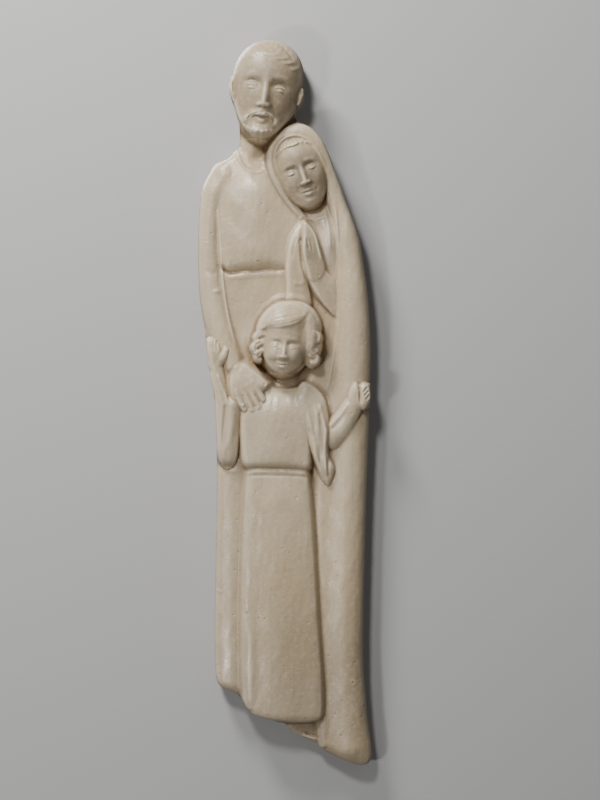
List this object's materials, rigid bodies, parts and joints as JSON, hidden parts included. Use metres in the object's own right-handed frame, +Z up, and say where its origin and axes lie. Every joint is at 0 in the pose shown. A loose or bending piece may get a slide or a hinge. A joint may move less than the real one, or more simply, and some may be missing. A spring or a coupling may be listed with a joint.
{
  "type": "holy family wall relief",
  "caption": "Tall narrow wall relief of a bearded man, a veiled woman with joined hands and a child with raised arms, long smooth robes, slanting hem, flat back.",
  "frame": {"origin": "middle of the flat back, midway between the sides and between the top and the lowest point of the hem", "axes": "+Z up the relief, +Y out of the back towards the wall, the figures face -Y, +X towards the woman's side"},
  "size_m": [0.0696, 0.0262, 0.2894],
  "materials": {
    "cast_body": "cream satin, browner in the hollows"
  },
  "bodies": {
    "root": {"holy_family_relief": "cast_body"}
  },
  "joints": []
}
